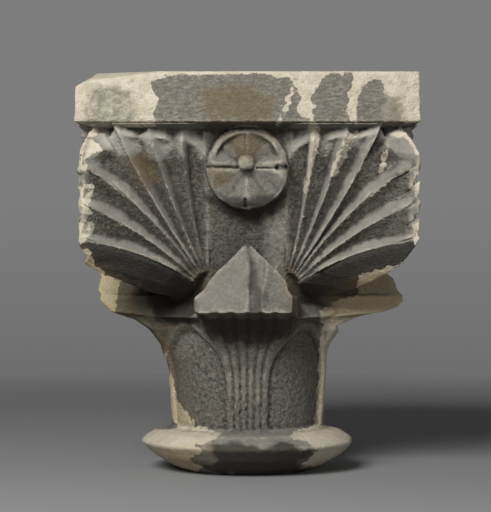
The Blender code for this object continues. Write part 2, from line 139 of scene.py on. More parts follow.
def smooth(low, high, value):
    """Nought below low and one above high, with a soft step between; low may be the higher."""
    t = np.clip((value - low) / (high - low), 0, 1)
    return t * t * (3 - 2 * t)


lattice = np.random.default_rng(11).random((64, 64, 64))


def cloud(points, size):
    """Smooth noise from -1 to 1, with lumps about as wide as size."""
    place = points / size
    cell = np.floor(place).astype(int)
    within = place - cell
    within = within * within * (3 - 2 * within)
    total = 0
    for corner in np.ndindex(2, 2, 2):
        weight = 1
        for axis in range(3):
            weight = weight * (within[:, axis] if corner[axis] else 1 - within[:, axis])
        i, j, k = [(cell[:, axis] + corner[axis]) % 64 for axis in range(3)]
        total = total + weight * lattice[i, j, k]
    return 2 * total - 1


def face_frame(points):
    """The face each point belongs to (0 front, 1 right, 2 back, 3 left), and its u and d."""
    x, y = points[:, 0], points[:, 1]
    face = np.where(np.abs(y) >= np.abs(x), np.where(y < 0, 0, 2), np.where(x > 0, 1, 3))
    u = np.choose(face, [x, y, -x, -y])
    d = np.choose(face, [-y, x, y, -x])
    return face, u, d


def from_line(u, z, line):
    """Distance from a line of points, positive on its right as one goes along it."""
    best = np.full(len(u), 1e9)
    side = np.ones(len(u))
    for (u0, z0), (u1, z1) in zip(line, line[1:]):
        du, dz = u1 - u0, z1 - z0
        along = np.clip(((u - u0) * du + (z - z0) * dz) / (du * du + dz * dz), 0, 1)
        away = np.hypot(u - u0 - along * du, z - z0 - along * dz)
        nearer = away < best
        best = np.where(nearer, away, best)
        side = np.where(nearer, np.sign((u - u0) * dz - (z - z0) * du), side)
    return best * side


def crest_line(crest, steps=14):
    """Points along one crest of a fan, from its foot to its tip."""
    (u0, z0), (u1, z1), bow = crest
    length = math.hypot(u1 - u0, z1 - z0)
    line = []
    for step in range(steps + 1):
        t = step / steps
        swing = bow * 4 * t * (1 - t) / length
        line.append((u0 + (u1 - u0) * t - (z1 - z0) * swing, z0 + (z1 - z0) * t + (u1 - u0) * swing))
    return line


def fan_place(u, z):
    """Which rib a point lies on, its share of the way from crest to crest, and the rib's width."""
    away = [from_line(np.abs(u), z, crest_line(crest)) for crest in CRESTS]
    rib = np.zeros(len(u), int)
    share = np.zeros(len(u))
    width = np.ones(len(u))
    for k in range(1, len(CRESTS)):
        between = (away[k - 1] >= 0) & (away[k] < 0)
        rib = np.where(between, k, rib)
        share = np.where(between, away[k - 1] / (away[k - 1] - away[k] + 1e-6), share)
        width = np.where(between, away[k - 1] - away[k], width)
    return rib, share, width


def regions(points):
    """Named parts of the block's surface, as masks, with the frame they are worked in."""
    face, u, d = face_frame(points)
    z = points[:, 2]
    part = {"face": face, "u": u, "d": d, "z": z, "radius": np.hypot(points[:, 0], points[:, 1])}
    part["abacus"] = z > 333.5
    part["rosette"] = (np.hypot(u, z - ROSETTE_Z) < 40) & (d > 116) & (z < 333)
    part["tongue"] = (d > 118) & (z < 232) & (np.abs(u) < 50)
    part["neck"] = (z < 152) & (z > 45)
    part["astragal"] = z < 45
    part["leaf"] = (z > 184) & (z < 333.5) & (np.abs(u) > 36) & ~part["rosette"] & ~part["tongue"]
    part["core"] = (z > 165) & (z < 333.5) & (np.abs(u) <= 40) & ~part["rosette"] & ~part["tongue"]
    part["rib"], part["share"], width = fan_place(u, z)
    part["rib"] = np.where(part["leaf"], part["rib"], 0)
    part["valley"] = np.maximum(np.take(VALLEYS, part["rib"]), 1 - np.take(STRIPS, part["rib"]) / width)
    return part


def knock_off(points, at, away, roughness, lump):
    """Breaks off all that stands beyond a rough plane through a point, square to a direction."""
    away = np.array(away, float) / np.linalg.norm(away)
    beyond = (points - np.array(at)) @ away + roughness * cloud(points, lump)
    return points - np.outer(np.maximum(beyond, 0), away)


points = read(stone.data)
normals = read(stone.data, "normals")
part = regions(points)
u, z, d = part["u"], part["z"], part["d"]
front = part["face"] == 0

# Each rib is a gouged channel and a flat strip that rises from it to the next crest, on the
# leaf's face, which runs straight in plan from the bell to the arris.
CHANNEL_DEPTH = 9.0
RIM_LENGTHS = (0, 7, 7, 7, 14, 14, 14)
BELL_REACH = 112
BELL_RISE = 0.2
BELL_FOOT_Z = 226
FAN_LINE = 36
FAN_LINE_SWING = 4
LOBE_LEAN = 8.0
from_focus = np.hypot(np.abs(u) - FAN_FOCUS[0], z - FAN_FOCUS[1])
lengths = [math.hypot(tip[0] - FAN_FOCUS[0], tip[1] - FAN_FOCUS[1]) for foot, tip, bow in CRESTS]
share, valley = part["share"], part["valley"]
outward = np.choose(part["face"], [-normals[:, 1], normals[:, 0], normals[:, 1], -normals[:, 0]])
bell = BELL_REACH + BELL_RISE * np.maximum(z - BELL_FOOT_Z, 0)
leaf_line = FAN_LINE + FAN_LINE_SWING * smooth(196, 317, z)
leaf = bell + (ARRIS - bell) * (np.abs(u) - leaf_line) / (ARRIS - leaf_line)
to_tip = np.full(len(z), 100.0)
cut = np.zeros(len(z))
for k in range(1, len(CRESTS)):
    here = part["rib"] == k
    length = lengths[k - 1] + (lengths[k] - lengths[k - 1]) * share
    depth = CHANNEL_DEPTH * (0.35 + 0.65 * smooth(0, 0.6 * length, from_focus))
    gouge = 1 - (1 - np.clip(share / valley, 0, 1)) ** 2
    slope = np.clip((1 - share) / (1 - valley), 0, 1)
    cut = np.where(here, depth * np.where(share < valley, gouge, slope), cut)
    to_tip = np.where(here, length - from_focus - RIM_LENGTHS[k], to_tip)
ribbed = (part["rib"] > 0) & (d > 95) & (outward > 0.15)
set_to = np.where(ribbed, leaf - cut - d, 0)
set_to *= (
    smooth(12, 7, np.abs(set_to))
    * smooth(1, 7, to_tip)
    * smooth(ARRIS - 5, ARRIS - 18, np.abs(u))
    * smooth(12, 30, from_focus)
)

# The upper lobes lean out towards their tips.
lean = LOBE_LEAN * smooth(36, 2, to_tip) * (part["rib"] < 4) * smooth(40, 60, np.abs(u))
set_to += np.where(ribbed, lean, 0)

# The front rosette: four petals, each folded down along its middle, dished towards the eye,
# with a rim that stands only above them.
ROSETTE_FACE = 142.0
ROSETTE_MIDDLE = (-0.5, 294.5)
PETAL_RING = 32
PETAL_DISH = 0.22
PETAL_FOLD = 0.3
EYE_MIDDLE = (-1.4, 298.5)
EYE_RADIUS = 8
EYE_SINK = 6.5
on_rosette = part["rosette"] & front & (outward > 0.3)
disc_u, disc_z = u - ROSETTE_MIDDLE[0], z - ROSETTE_MIDDLE[1]
ring = np.hypot(disc_u, disc_z)
turn = np.arctan2(disc_z, disc_u)
off_ridge = np.abs((turn + math.pi / 4) % (math.pi / 2) - math.pi / 4)
petals = PETAL_DISH * (PETAL_RING - ring * np.cos(off_ridge)) + PETAL_FOLD * ring * np.sin(off_ridge)
petals *= 1 - 0.85 * smooth(29.5, 31.5, ring) * smooth(0.2, 0.5, np.sin(turn))
disc = ROSETTE_FACE - np.maximum(petals, ring - PETAL_RING)
from_eye = np.hypot(u - EYE_MIDDLE[0], z - EYE_MIDDLE[1])
dome = 0.9 * np.sqrt(np.maximum(EYE_RADIUS**2 - from_eye * from_eye, 0)) * (from_eye < EYE_RADIUS)
disc = np.maximum(disc, ROSETTE_FACE - EYE_SINK + dome)


def groove(start, end, width, depth):
    """A cut with a round bottom along a straight line, as a depth for each point."""
    away = np.abs(from_line(u, z, (start, end)))
    return depth * np.clip(1 - (away / width) ** 2, 0, 1)


disc -= groove((-38, 294.5), (-9, 294), 1.8, 5.0) + groove((9, 293.8), (27, 293.5), 1.5, 3.5)
disc -= groove((28, 294), (41, 294), 3.4, 6.0) + groove((-2.5, 306), (-2.5, 324), 1.4, 1.2)
disc -= groove((-2, 254), (-2, 264), 2.0, 5.0)
set_to = np.where(on_rosette & (ring < 37.5), disc - d, set_to)
set_to *= np.abs(set_to) < 14

# The front tongue's outline is fuller than the block's straight one.
TONGUE_HEIGHTS = (160, 171, 180.5, 185, 189.7, 198.9, 210.9, 214.6, 221, 224, 226.5)
TONGUE_STRAIGHT = (46, 46, 45, 40, 35.5, 26, 14.5, 11, 5, 2, 0.1)
TONGUE_LEFT = (48.5, 48.4, 44.5, 41, 38, 31, 18, 13.8, 7, 4, 1)
TONGUE_RIGHT = (41, 41, 41.5, 40.5, 39, 32, 23, 20, 12.5, 8, 3)
straight = np.interp(z, TONGUE_HEIGHTS, TONGUE_STRAIGHT)
full_left = np.interp(z, TONGUE_HEIGHTS, TONGUE_LEFT)
full_right = np.interp(z, TONGUE_HEIGHTS, TONGUE_RIGHT)
full = np.where(u < 0, full_left, full_right)
on_tongue = part["tongue"] & front & (z < 226.5)
widen = np.clip(np.abs(u) / straight, 0, 1) * (full - straight) * np.sign(u)
widen = widen * smooth(118, 138, d) * on_tongue

# The reeds stand closer together on the neck and spread towards the tongue.
REED_ROWS = (40, 46, 96, 115, 128, 141, 150, 156)
REED_SPREAD = (0, -0.24, -0.22, -0.08, 0.08, 0.24, 0.1, 0)
bearing = np.arctan2(u, d)
turned = bearing * np.interp(z, REED_ROWS, REED_SPREAD) * smooth(0.72, 0.36, np.abs(bearing))
turned = turned * (part["radius"] < 125) * (z < 156)
cosine, sine = np.cos(turned), np.sin(turned)
points[:, 0], points[:, 1] = (
    points[:, 0] * cosine - points[:, 1] * sine,
    points[:, 0] * sine + points[:, 1] * cosine,
)

# The side tongues are blunter at the top. How far each reaches is given row by row.
TONGUE_ROWS = (150.3, 154.3, 158.3, 162.3, 166.3, 174.3, 178.3, 182.3, 186.3, 190.3, 196)
LEFT_REACH = (116.5, 131.5, 134.5, 138.5, 142.5, 146.5, 149.5, 148.5, 147.5, 146.5, 140)
RIGHT_REACH = (103.5, 118.5, 137.5, 149.5, 151.5, 151.5, 147.5, 146.5, 145.5, 143.5, 137)
for face, reach in ((1, RIGHT_REACH), (3, LEFT_REACH)):
    here = (part["face"] == face) & (np.abs(u) < 50) & (z > 149) & (z < 199)
    now = [d[here & (np.abs(z - row) < 1.5)].max() for row in TONGUE_ROWS]
    grown = np.interp(z, TONGUE_ROWS, np.array(reach) - now) * smooth(100, 130, d)
    grown = grown * smooth(149, 151, z) * smooth(199, 195, z)
    set_to = np.where(here, grown, set_to)

# The arrises have shallower notches, the right ones stand a little fuller, and the left leaf's
# foot hangs further out.
NOTCH_FILL = 0.8
ARRIS_FULL = 2.2
LEFT_FOOT_REACH = 8.0
middle = (np.abs(points[:, 0]) + np.abs(points[:, 1])) / 2
worn_in = ARRIS - middle
corner = smooth(16, 1, np.abs(np.abs(points[:, 0]) - np.abs(points[:, 1])))
fill = NOTCH_FILL * np.clip(worn_in, 0, 18) * corner * smooth(30, 20, worn_in)
fill *= smooth(221, 229, z) * smooth(304, 294, z)
fuller = ARRIS_FULL * corner * smooth(14, 4, worn_in) * (points[:, 0] > 0)
fill += fuller * smooth(222, 232, z) * smooth(326, 318, z)
points[:, 0] += np.sign(points[:, 0]) * fill
points[:, 1] += np.sign(points[:, 1]) * fill
hang = LEFT_FOOT_REACH * smooth(190, 197, z) * smooth(212, 204, z)
points[:, 0] -= hang * smooth(-100, -135, points[:, 0])
outward_of_face = np.choose(part["face"][:, None], [(0, -1, 0), (1, 0, 0), (0, 1, 0), (-1, 0, 0)])
points = points + outward_of_face * set_to[:, None]
points[:, 0] += widen

# The neck's flare leans to the left, the astragal has a full shoulder, and a shallow flute
# runs down the middle of the front tongue.
FLARE_LEAN = 2.6
SHOULDER_ROWS = (27, 30, 34.5, 38.5, 42, 46)
SHOULDER_FULL = (0, 1.5, 6.5, 8, 5, 0)
FLUTE_DEPTH = 1.8
flare = FLARE_LEAN * smooth(100, 118, z) * smooth(158, 150, z)
points[:, 0] -= flare * smooth(45, 75, np.abs(points[:, 0])) * (part["radius"] < 120)
shoulder = np.interp(z, SHOULDER_ROWS, SHOULDER_FULL) * smooth(78, 84, part["radius"])
points[:, :2] *= 1 + (shoulder * (part["radius"] < 115) / part["radius"])[:, None]
flute = on_tongue * smooth(118, 126, d) * FLUTE_DEPTH * smooth(0.5, 3, u) * smooth(16, 13, u)
points[:, 1] += flute * smooth(222, 206, z)

# What has broken away: the slab's front edge and corner on the left, the blunt right end of
# the astragal, and chips off the left arris.
SLAB_EDGE_BREAK = ((-135, -158.6, 372.8), (-0.12, -0.35, 0.93), 0.6, 9)
SLAB_CORNER_BREAK = ((-151, -158.6, 371.0), (-0.56, -0.05, 0.83), 0.9, 8)
ASTRAGAL_BREAK = ((102.6, 0, 38), (1, -0.08, 0.1), 1.0, 7)
ARRIS_CHIPS = ((299, 2.6), (266, 3.0), (234, 2.4))
CHIP_REACH = 22
points = knock_off(points, *SLAB_EDGE_BREAK)
points = knock_off(points, *SLAB_CORNER_BREAK)
low = z < 47
points[low] = knock_off(points[low], *ASTRAGAL_BREAK)
for height, depth in ARRIS_CHIPS:
    chip = np.array((-ARRIS + depth, -ARRIS + depth, height))
    near = np.linalg.norm(points - chip, axis=1) < CHIP_REACH
    points[near] = knock_off(points[near], chip, (-0.8, -0.6, 0.05), 0.9, 6)
write_points(stone.data, points)

# Tool marks: how rough the carver left each part. The strips of the ribs were rubbed smooth,
# and the channels, the core and the neck's panels keep the point's pits. Geometry Nodes push
# the skin in and out by that roughness, and wear down what stands out.
rough = np.full(len(z), 0.35)
rough = np.where(part["leaf"], 0.6, rough)
rough = np.where(ribbed, 0.15 + 0.9 * (share < valley) * smooth(-3, 3, to_tip), rough)
rough = np.where(part["core"], 1.3, rough)
rough = np.where(part["neck"], 0.55, rough)
rough = np.where(part["neck"] & (part["radius"] < 76.5), 1.4 + 0.8 * front * (u < 0), rough)
rough = np.where(part["rosette"], 0.35, rough)
rough = np.where(part["abacus"], 0.55 + 0.15 * front, rough)
rough = np.where(front, rough, 0.6 * rough)
rough = np.where(z > 380, 0.2, rough)
store(stone.data, "rough", rough)

weather = bpy.data.node_groups.new("weathering", "GeometryNodeTree")
weather.is_modifier = True
MARKS = {
    "Lump size": 9 * MM,
    "Lump height": 0.9 * MM,
    "Pit size": 4.2 * MM,
    "Pit depth": 1.9 * MM,
    "Edge wear": 0.8,
    "Chip size": 13 * MM,
}
weather.interface.new_socket("Geometry", in_out="INPUT", socket_type="NodeSocketGeometry")
sockets = {}
for name in MARKS:
    made = weather.interface.new_socket(name, in_out="INPUT", socket_type="NodeSocketFloat")
    sockets[name] = made.identifier
weather.interface.new_socket("Geometry", in_out="OUTPUT", socket_type="NodeSocketGeometry")


def add(tree, kind, *sources, out=0, **settings):
    """Adds a node with its settings and gives one of its outputs. The sources are values or
    other nodes' outputs, in the order of the inputs that the node shows; None skips one."""
    made = tree.nodes.new(kind)
    for name, value in settings.items():
        setattr(made, name, value)
    shown = [socket for socket in made.inputs if socket.enabled and not socket.is_unavailable]
    for socket, source in zip(shown, sources):
        if isinstance(source, bpy.types.NodeSocket):
            tree.links.new(source, socket)
        elif source is not None:
            socket.default_value = source
    if isinstance(out, str):
        return made.outputs[out]
    return [socket for socket in made.outputs if socket.enabled and not socket.is_unavailable][out]


def product(tree, *factors):
    """Factors multiplied together, one after another."""
    result = factors[0]
    for factor in factors[1:]:
        result = add(tree, "ShaderNodeMath", result, factor, operation="MULTIPLY")
    return result


given = weather.nodes.new("NodeGroupInput").outputs
place = add(weather, "GeometryNodeInputPosition")
normal = add(weather, "GeometryNodeInputNormal")
rough_here = add(weather, "GeometryNodeInputNamedAttribute", "rough", data_type="FLOAT")


def lumpy(size, detail):
    """Noise of about one lump to a size, from nought to one."""
    scale = add(weather, "ShaderNodeMath", 1.0, size, operation="DIVIDE")
    return add(weather, "ShaderNodeTexNoise", place, scale, detail)


def standing_out(iterations):
    """How far each point stands out of its surroundings, along its normal."""
    mean = add(weather, "GeometryNodeBlurAttribute", place, iterations, data_type="FLOAT_VECTOR")
    offset = add(weather, "ShaderNodeVectorMath", place, mean, operation="SUBTRACT")
    return add(weather, "ShaderNodeVectorMath", offset, normal, operation="DOT_PRODUCT")


lumps = add(weather, "ShaderNodeMath", lumpy(given["Lump size"], 2.0), 0.5, operation="SUBTRACT")
lumps = product(weather, lumps, given["Lump height"])
pits = add(weather, "ShaderNodeMath", lumpy(given["Pit size"], 1.0), 0.5, operation="SUBTRACT")
pits = product(weather, pits, given["Pit depth"])
marks = add(weather, "ShaderNodeMath", lumps, pits, operation="ADD")
marks = product(weather, marks, rough_here)
edge = add(weather, "ShaderNodeMath", standing_out(10), 0.0, operation="MAXIMUM")
chips = add(weather, "ShaderNodeMapRange", lumpy(given["Chip size"], 3.0), 0.45, 0.7)
wear = product(weather, edge, given["Edge wear"], chips)
shift = add(weather, "ShaderNodeMath", marks, wear, operation="SUBTRACT")
offset = add(weather, "ShaderNodeVectorMath", normal, shift, operation="SCALE")
moved = add(weather, "GeometryNodeSetPosition", given["Geometry"], None, None, offset)
weather.links.new(moved, weather.nodes.new("NodeGroupOutput").inputs[0])

weathering = stone.modifiers.new("weathering", "NODES")
weathering.node_group = weather
for name, value in MARKS.items():
    weathering[sockets[name]] = value
thinned = stone.modifiers.new("fewer faces", "DECIMATE")
triangles = sum(len(face.vertices) - 2 for face in stone.data.polygons)
thinned.ratio = min(1.0, SKIN_FACES / triangles)
settle(stone)

# The skin stays within the block it was cut from, and is closed again where thinning it left
# slivers: one shell, with two faces at every edge.
points = read(stone.data)
low, high = np.array(cad_box) / MM
write_points(stone.data, np.clip(points, low, high))
clean = bmesh.new()
clean.from_mesh(stone.data)
bmesh.ops.dissolve_degenerate(clean, edges=clean.edges, dist=0.02 * MM)
bmesh.ops.triangulate(clean, faces=clean.faces)
crowded = [edge for edge in clean.edges if len(edge.link_faces) > 2]
crowding = list({face for edge in crowded for face in edge.link_faces})
bmesh.ops.delete(clean, geom=crowding, context="FACES")
bmesh.ops.holes_fill(clean, edges=[edge for edge in clean.edges if edge.is_boundary], sides=0)
bmesh.ops.triangulate(clean, faces=clean.faces)
joined = {max(clean.verts, key=lambda vertex: vertex.co.z)}
reached = list(joined)
while reached:
    for edge in reached.pop().link_edges:
        for vertex in edge.verts:
            if vertex not in joined:
                joined.add(vertex)
                reached.append(vertex)
stray = [vertex for vertex in clean.verts if vertex not in joined]
bmesh.ops.delete(clean, geom=stray, context="VERTS")
clean.to_mesh(stone.data)
clean.free()
stone.data.validate()

# How deep each point lies in a hollow, from blurred copies of the skin, at a small and a large size.
# The colour darkens the small hollows as dirt and painted shade, the large recesses as painted shade,
# and lightens what stands out as wear and a painted highlight.


def hollows(piece, iterations):
    """How far each vertex lies below its surroundings, in millimetres."""
    probe = piece.copy()
    probe.data = piece.data.copy()
    bpy.context.scene.collection.objects.link(probe)
    blur = probe.modifiers.new("blur", "SMOOTH")
    blur.factor = 0.6
    blur.iterations = iterations
    settle(probe)
    below = ((read(probe.data) - read(piece.data)) * read(piece.data, "normals")).sum(1)
    bpy.data.objects.remove(probe)
    return below


store(stone.data, "hollow", hollows(stone, 8))
store(stone.data, "recess", hollows(stone, 60))

# Where the patina has gone and the cream stone shows. The front's patches are drawn as they
# are seen from 1.85 m off, in rows and columns of the view, one to a millimetre at the axis.
EYE_DISTANCE = 1850.0
EYE_HEIGHT = 206.3
AXIS_COLUMN = 247.5
EYE_ROW = 262.0
CREAM = {
    "left end of the slab": (
        (60, 60), (168, 70), (168, 76), (158, 79), (150, 84), (155, 93), (160, 99), (158, 106),
        (153, 112), (156, 126), (100, 129), (96, 136), (60, 136),
    ),
    "top edge": ((160, 60), (300, 60), (300, 74), (240, 73.5), (160, 75)),
    "crack": (
        (291, 84), (295, 86), (294, 96), (289, 99), (292, 104), (284, 114), (280, 126), (276, 124),
        (280, 113), (287, 103), (284, 98), (290, 94),
    ),
    "wedge": (
        (268, 60), (345, 60), (342, 74), (323, 75), (316, 91), (309, 97), (316, 106), (312, 112),
        (315, 119), (316, 130), (310, 130), (310, 118), (303, 117), (296, 110), (301, 98),
        (295, 88), (290, 78), (272, 77),
    ),
    "slot": (
        (352, 60), (372, 60), (371, 80), (362, 85), (360, 95), (356, 98), (357, 109), (357, 126),
        (352, 124), (347, 113), (350, 99), (346, 93), (351, 87), (353, 80),
    ),
    "right end of the slab": (
        (366, 60), (430, 60), (430, 124), (402, 122), (396, 104), (384, 92), (383, 79), (368, 80),
    ),
    "first ridge": (
        (308, 126), (320, 126), (318, 150), (313, 165), (310, 180), (306, 194), (302, 192),
        (309, 165), (309, 140),
    ),
    "second ridge": (
        (357, 129), (360, 132), (352, 145), (345, 160), (335, 178), (329, 176), (338, 152),
        (344, 140),
    ),
    "third ridge": ((384, 148), (389, 150), (384, 172), (379, 174)),
    "knob's edge": ((389, 133), (408, 131), (422, 152), (418, 156), (406, 137), (390, 138)),
    "right arris": ((414, 172), (424, 172), (424, 197), (416, 196)),
    "right arris foot": ((412, 222), (424, 222), (424, 250), (414, 244)),
    "left knob": (
        (70, 138), (88, 139), (101, 143), (103, 151), (92, 153), (86, 160), (87, 170), (70, 172),
    ),
    "left arris": ((70, 186), (94, 184), (92, 196), (87, 208), (93, 214), (70, 212)),
    "left arris foot": ((70, 224), (94, 222), (92, 236), (82, 243), (70, 244)),
    "under the left fan": (
        (70, 244), (90, 250), (94, 263), (106, 276), (121, 281), (117, 300), (114, 318), (70, 318),
    ),
    "left of the neck": (
        (140, 350), (169, 352), (172, 375), (177, 400), (196, 424), (196, 430), (140, 430),
    ),
    "right of the neck": (
        (360, 309), (326, 318), (320, 335), (318, 380), (314, 424), (306, 430), (350, 430),
        (350, 309),
    ),
    "right bracket": (
        (320, 312), (336, 300), (357, 296), (358, 276), (404, 262), (410, 320), (330, 326),
        (320, 322),
    ),
    "astragal's left": (
        (130, 426), (200, 426), (222, 433), (214, 441), (190, 446), (150, 452), (130, 452),
    ),
    "astragal's left foot": (
        (140, 444), (192, 444), (204, 451), (188, 459), (202, 467), (192, 478), (160, 478),
    ),
    "astragal's right": (
        (296, 430), (330, 424), (360, 424), (360, 462), (325, 470), (302, 464), (318, 450),
        (308, 442), (290, 437),
    ),
}
OCHRE = {
    "slab's middle": ((200, 92), (240, 86), (276, 96), (272, 122), (212, 122)),
    "slab's right": ((386, 100), (402, 100), (402, 120), (384, 120)),
    "right focus": ((282, 264), (292, 268), (300, 286), (298, 318), (288, 316), (288, 290)),
    "left focus": ((194, 268), (206, 270), (206, 284), (196, 288)),
    "right bracket": ((320, 300), (354, 276), (386, 270), (404, 296), (402, 312), (330, 322)),
    "under the left fan": (
        (84, 246), (96, 262), (122, 280), (138, 286), (140, 312), (150, 320), (98, 322), (80, 270),
    ),
    "left of the neck": ((150, 320), (172, 330), (178, 400), (196, 424), (168, 424), (160, 360)),
    "left lobes": ((128, 158), (146, 150), (158, 172), (150, 190), (134, 176)),
    "rosette's top": ((222, 138), (246, 132), (272, 140), (248, 160)),
    "rosette's left": ((210, 170), (238, 170), (222, 188), (212, 184)),
    "astragal's foot": ((160, 448), (212, 446), (200, 470), (170, 466)),
}
# Painted shadows and soot, drawn the same way: the shadows that the tongue, the rosette and its eye
# cast, and the shade under the left fan, are painted on; the tongue's middle is painted shade on the
# strip that turns from the light, with its darker pitting; the astragal's foot is its dark crust.
SOOT_AND_PAINTED_SHADE = {
    "under the tongue": ((196, 314), (296, 314), (292, 334), (270, 344), (224, 344), (204, 334)),
    "under the left fan": ((148, 280), (190, 292), (198, 310), (190, 326), (160, 326), (146, 304)),
    "astragal's foot": (
        (214, 447), (262, 444), (310, 447), (322, 455), (304, 463), (310, 478), (224, 478),
        (206, 470), (218, 458),
    ),
    "under the rosette": ((206, 196), (288, 196), (270, 214), (247, 224), (224, 216)),
    "under the eye": ((242, 169), (254, 168), (258, 172), (251, 179), (243, 176)),
    "tongue's middle": (
        (246, 236), (251, 256), (260, 280), (265, 300), (265, 318), (248, 318), (249, 280),
    ),
}
# Pale grey, drawn the same way: the pale grey skin at the slab's ends, and the lobes' tips under the
# slab, pale worn stone that is lightened further as painted light where the slab's shadow falls.
GREY_AND_PAINTED_LIGHT = {
    "first left lobe": (
        (100, 141), (112, 129), (124, 127), (138, 139), (143, 152), (128, 158), (110, 152),
    ),
    "second left lobe": (
        (143, 140), (155, 128), (165, 131), (173, 145), (168, 158), (150, 160), (143, 150),
    ),
    "third left lobe": (
        (174, 142), (186, 131), (198, 136), (206, 150), (202, 158), (196, 150), (188, 142),
        (180, 158),
    ),
    "first right lobe": ((289, 160), (289, 146), (300, 135), (310, 130), (310, 138), (298, 148)),
    "second right lobe": (
        (320, 153), (325, 140), (336, 131), (348, 126), (349, 132), (336, 142), (328, 152),
    ),
    "third right lobe": (
        (351, 146), (357, 136), (368, 130), (381, 125), (380, 132), (368, 137), (358, 147),
    ),
    "slab's left": (
        (90, 94), (99, 86), (117, 87), (130, 89), (134, 97), (137, 120), (131, 124), (82, 124),
        (84, 111),
    ),
    "slab's right": ((384, 92), (402, 96), (406, 120), (384, 121)),
}


def inside(columns, rows, outline):
    """Distance in from an outline, negative outside it."""
    best = np.full(len(columns), 1e9)
    within = np.zeros(len(columns), bool)
    for (x0, y0), (x1, y1) in zip(outline, outline[1:] + outline[:1]):
        dx, dy = x1 - x0, y1 - y0
        along = np.clip(((columns - x0) * dx + (rows - y0) * dy) / (dx * dx + dy * dy), 0, 1)
        best = np.minimum(best, np.hypot(columns - x0 - along * dx, rows - y0 - along * dy))
        if dy:
            crosses = (y0 > rows) != (y1 > rows)
            within ^= crosses & (columns < x0 + (rows - y0) * dx / dy)
    return np.where(within, best, -best)


points = read(stone.data)
part = regions(points)
z = points[:, 2]
nearer = EYE_DISTANCE / (EYE_DISTANCE + points[:, 1])
columns = AXIS_COLUMN + points[:, 0] * nearer
rows = EYE_ROW - (z - EYE_HEIGHT) * nearer
seen = smooth(25, -15, points[:, 1] + 40 * cloud(points, 35.0))


def painted(patches, far):
    """The patches as one field of millimetres, with a plainer growth of its own at the back."""
    field = np.full(len(z), -40.0)
    for outline in patches.values():
        field = np.maximum(field, inside(columns, rows, outline))
    return field * seen + far * (1 - seen)


lumps = cloud(points, 70.0) * 14 + cloud(points, 22.0) * 5
bare = painted(CREAM, lumps - 5 - 4 * part["core"] + 4 * part["abacus"])
bare = np.where(part["z"] > 380.2, 8.0, bare)
ochre = painted(OCHRE, cloud(points + 300, 50.0) * 12 - 3)
grey_and_painted_light = painted(GREY_AND_PAINTED_LIGHT, cloud(points + 700, 30.0) * 9 - 5)

# How smooth each part was left: nought as the point left it, one where it was rubbed. The smooth
# share also lightens the crust: on the rib strips it is both their rubbed finish and painted light on
# faces turned to the light; on the ribs' tips and the core's right side it is painted light.
ribbed = (part["rib"] > 0) & (part["share"] > 0) & (part["d"] > 95)
length = np.take([0, *lengths[1:]], part["rib"])
length -= (length - np.take([0, *lengths[:-1]], part["rib"])) * (1 - part["share"])
from_focus = np.hypot(np.abs(part["u"]) - FAN_FOCUS[0], z - FAN_FOCUS[1])
to_tip = length - from_focus
polish_and_light = np.where(ribbed, smooth(part["valley"] - 0.05, part["valley"] + 0.05, part["share"]), 0.35)
# Painted light on the ribs' tips, whose rims face up to the light.
polish_and_light = np.where(ribbed, np.maximum(polish_and_light, smooth(11, 7, to_tip)), polish_and_light)
# Painted light on the core's right side; a little polish towards the fan lines on both sides.
core_polish_and_light = 0.6 * smooth(10, 22, part["u"]) * smooth(41, 33, part["u"]) * smooth(262, 250, z)
core_polish_and_light = np.maximum(core_polish_and_light, 0.35 * smooth(32, 40, np.abs(part["u"])))
polish_and_light = np.where(part["core"], core_polish_and_light, polish_and_light)
polish_and_light = np.where(part["neck"], np.where(part["radius"] < 77, 0.15, 0.3), polish_and_light)
polish_and_light = np.where(part["tongue"], np.where(part["u"] > 15, 0.45, 0.7), polish_and_light)
polish_and_light = np.where(part["rosette"], 0.5, polish_and_light)
polish_and_light = np.where(part["astragal"], 0.8, polish_and_light)
polish_and_light = np.where(part["abacus"], 0.55, polish_and_light)

# Soot and painted shade, as one field: the undersides of the fans and the faces that look down
# under the slab are darkened as painted shade, the middle of the core is made a little darker, and
# the listed spots add painted shadows and soot.
down = smooth(-0.5, -0.8, read(stone.data, "normals")[:, 2])
# Painted shade on the undersides of the fans.
under = (z > 165) & (z < 300) & (part["rib"] == 0) & (np.abs(part["u"]) > 50) & ~part["tongue"]
# Painted shade on the faces that look down under the slab.
painted_shade_under_slab = down * (z > 300) * (z < 336.5) * ~part["rosette"]
soot_and_shade = np.where(under, 1.0, 0.3 * part["core"] * smooth(26, 14, np.abs(part["u"]))) + 0.4 * painted_shade_under_slab
torn = 5 * cloud(points, 8.0) + 8 * part["astragal"] * cloud(points, 14.0)
# The listed spots: painted shadows and soot, with torn edges.
shadow_and_soot_spots = smooth(-3, 4, painted(SOOT_AND_PAINTED_SHADE, -20) + torn)
soot_and_shade = np.clip(soot_and_shade + shadow_and_soot_spots * np.where(part["tongue"], 0.8, 1.0), 0, 1)
fields = {"bare": bare, "ochre": ochre, "grey_and_painted_light": grey_and_painted_light, "polish_and_light": polish_and_light, "soot_and_shade": soot_and_shade}
for name, values in fields.items():
    store(stone.data, name, values)

# Weathered limestone: a fine, chalky cream stone under a thin warm grey crust, dressed with a
# point and never polished. It is matt all over and mottled. Its colour is darkened in its pits as
# dirt and painted shade, in its recesses and under the slab and fans as painted shade, and where
# shadows are painted; it is palest where hands and weather have rubbed it, and where painted light
# lies on the lit strips, the ribs' tips, the lobes and the core's right side. Fields are in
# millimetres, shares from nought to one.
limestone = bpy.data.materials.new("limestone")
limestone.use_nodes = True
tree = limestone.node_tree
shader = tree.nodes["Principled BSDF"]
shader.inputs["Roughness"].default_value = 0.9
shader.inputs["Specular IOR Level"].default_value = 0.25


